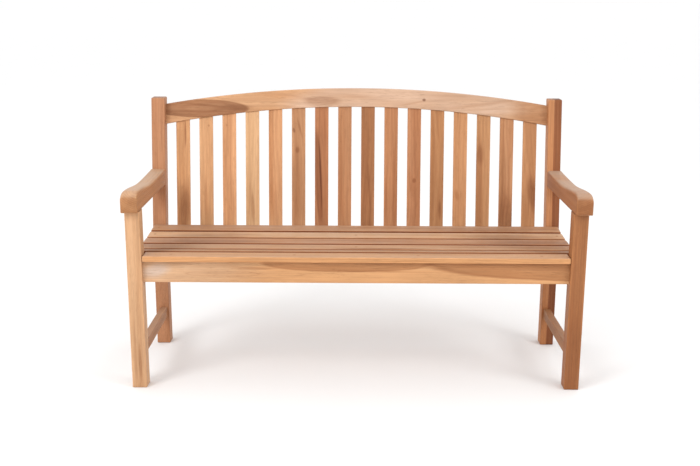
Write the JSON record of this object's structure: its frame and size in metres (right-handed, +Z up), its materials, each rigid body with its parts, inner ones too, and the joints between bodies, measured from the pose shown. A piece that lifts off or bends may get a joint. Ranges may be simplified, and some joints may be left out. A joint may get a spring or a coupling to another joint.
{
  "type": "garden bench",
  "caption": "Slatted hardwood garden bench with an arched crest rail, upright back slats, a dished slatted seat, shaped arms and square legs.",
  "frame": {"origin": "middle of the bench's footprint on the ground, half way between the arm noses and the back of the crest rail", "axes": "+Z up, +X towards the right of someone looking at the front of the bench, -Y out of the front"},
  "size_m": [1.483, 0.5824, 0.9353],
  "materials": {
    "teak_frame": "sanded bare teak, honey brown with darker heartwood bands",
    "teak_seat": "sanded bare teak, slightly greyed on the upper faces",
    "teak_back": "sanded bare teak, varied from board to board",
    "teak_pegs": "bare teak end grain",
    "screw_steel": "plain stainless steel"
  },
  "bodies": {
    "root": {"apron_pegs": "teak_pegs", "arm_pegs": "teak_pegs", "back_frame_pegs": "teak_pegs", "back_slat_01": "teak_back", "back_slat_02": "teak_back", "back_slat_03": "teak_back", "back_slat_04": "teak_back", "back_slat_05": "teak_back", "back_slat_06": "teak_back", "back_slat_07": "teak_back", "back_slat_08": "teak_back", "back_slat_09": "teak_back", "back_slat_10": "teak_back", "back_slat_11": "teak_back", "back_slat_12": "teak_back", "back_slat_13": "teak_back", "back_slat_14": "teak_back", "back_slat_15": "teak_back", "back_slat_16": "teak_back", "centre_seat_bearer": "teak_frame", "crest_rail": "teak_back", "front_apron": "teak_frame", "left_arm": "teak_frame", "left_back_post": "teak_frame", "left_front_leg": "teak_frame", "left_lower_stretcher": "teak_frame", "left_side_seat_rail": "teak_frame", "rear_seat_rail": "teak_frame", "right_arm": "teak_frame", "right_back_post": "teak_frame", "right_front_leg": "teak_frame", "right_lower_stretcher": "teak_frame", "right_side_seat_rail": "teak_frame", "screw_plugs": "teak_pegs", "seat_screws": "screw_steel", "seat_slat_1": "teak_seat", "seat_slat_2": "teak_seat", "seat_slat_3": "teak_seat", "seat_slat_4": "teak_seat", "seat_slat_5": "teak_seat", "seat_slat_6": "teak_seat", "side_frame_pegs": "teak_pegs"}
  },
  "joints": []
}
